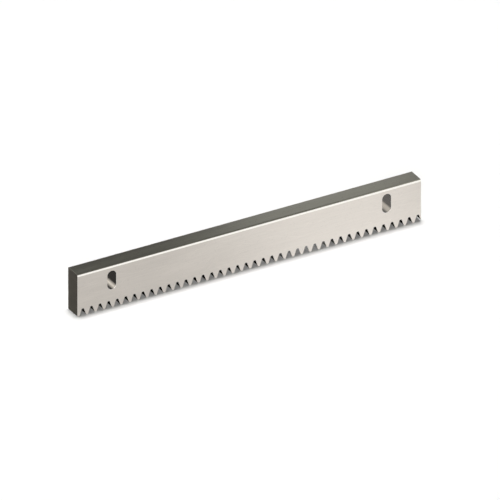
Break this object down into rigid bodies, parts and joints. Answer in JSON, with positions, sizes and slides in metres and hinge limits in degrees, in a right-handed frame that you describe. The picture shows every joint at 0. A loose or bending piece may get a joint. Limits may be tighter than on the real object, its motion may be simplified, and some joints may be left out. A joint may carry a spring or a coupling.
{
  "type": "gear rack",
  "caption": "Straight-toothed steel gear rack cut from a flat bar, with two upright slots for fixing screws.",
  "frame": {"origin": "under the middle of the bar, on the plane of the tooth tips", "axes": "+X along the rack, towards the end where the last gap runs out; +Y through the thickness, towards the face that bolts to the moving part; +Z from the tooth tips to the plain back edge"},
  "size_m": [0.2514, 0.012, 0.03],
  "materials": {
    "ground_steel": "satin ground sides, darker as-drawn back and sawn ends"
  },
  "bodies": {
    "root": {"rack": "ground_steel"}
  },
  "joints": []
}
